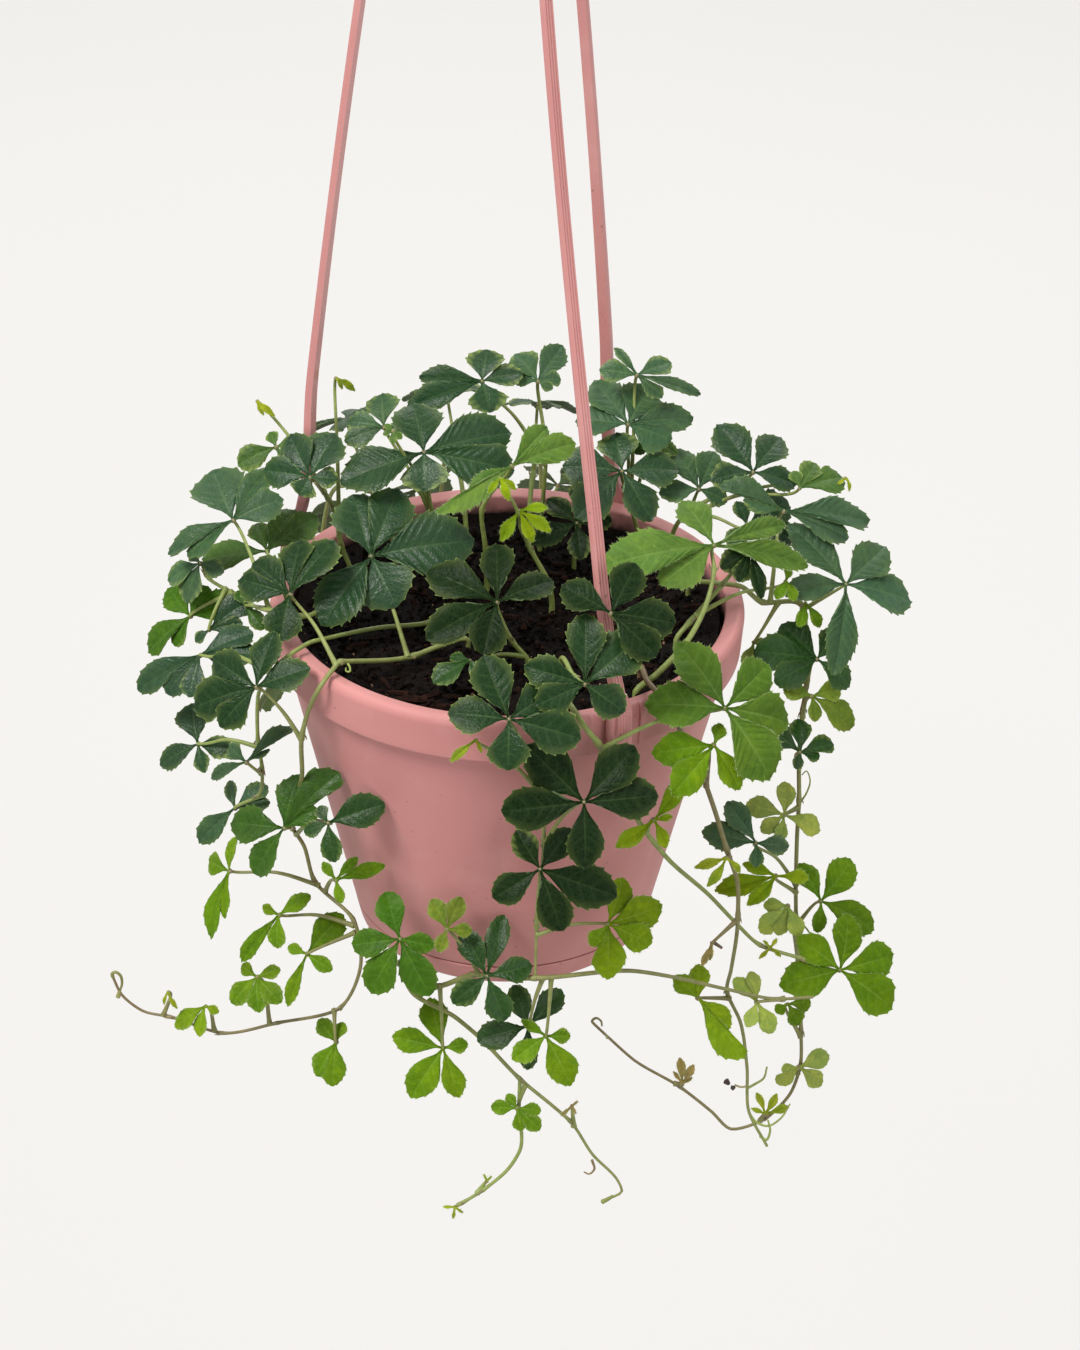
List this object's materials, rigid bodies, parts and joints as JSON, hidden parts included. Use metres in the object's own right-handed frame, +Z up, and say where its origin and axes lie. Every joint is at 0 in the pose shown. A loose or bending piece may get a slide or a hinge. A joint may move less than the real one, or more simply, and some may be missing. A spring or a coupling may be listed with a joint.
{
  "type": "potted sugar vine",
  "caption": "Hanging plastic pot with a drip saucer, ribbed hanger arms and a hook, planted with a trailing sugar vine whose five-fingered leaves crown the rim and hang down its sides.",
  "frame": {"origin": "the seat of the hanger hook, where a ceiling hook or rail carries it", "axes": "+Z up, against the pull; -Y towards the viewer of the front; +X to the viewer's right"},
  "size_m": [0.2571, 0.2049, 0.6407],
  "materials": {
    "pink_plastic": "satin",
    "potting_soil": "rough, damp",
    "foliage_dark": "satin leaf",
    "foliage_mid": "satin leaf",
    "foliage_fresh": "satin leaf"
  },
  "bodies": {
    "root": {"back_stem_1": "foliage_dark", "back_stem_2": "foliage_dark", "back_stem_3": "foliage_dark", "crown_arm": "foliage_dark", "crown_back": "foliage_dark", "crown_corner": "foliage_dark", "crown_dark": "foliage_dark", "crown_front": "foliage_dark", "crown_left": "foliage_dark", "crown_light": "foliage_fresh", "crown_middle": "foliage_dark", "crown_rear": "foliage_dark", "crown_right": "foliage_dark", "crown_young": "foliage_fresh", "drip_saucer": "pink_plastic", "front_runner": "foliage_dark", "hanger_arm_front": "pink_plastic", "hanger_arm_left": "pink_plastic", "hanger_arm_rear": "pink_plastic", "hanger_hook": "pink_plastic", "left_creeper": "foliage_mid", "left_runner": "foliage_mid", "left_spray": "foliage_dark", "pot": "pink_plastic", "right_brown": "foliage_fresh", "right_light": "foliage_fresh", "right_second": "foliage_dark", "right_strand": "foliage_mid", "rim_runner": "foliage_fresh", "soil": "potting_soil"}
  },
  "joints": []
}
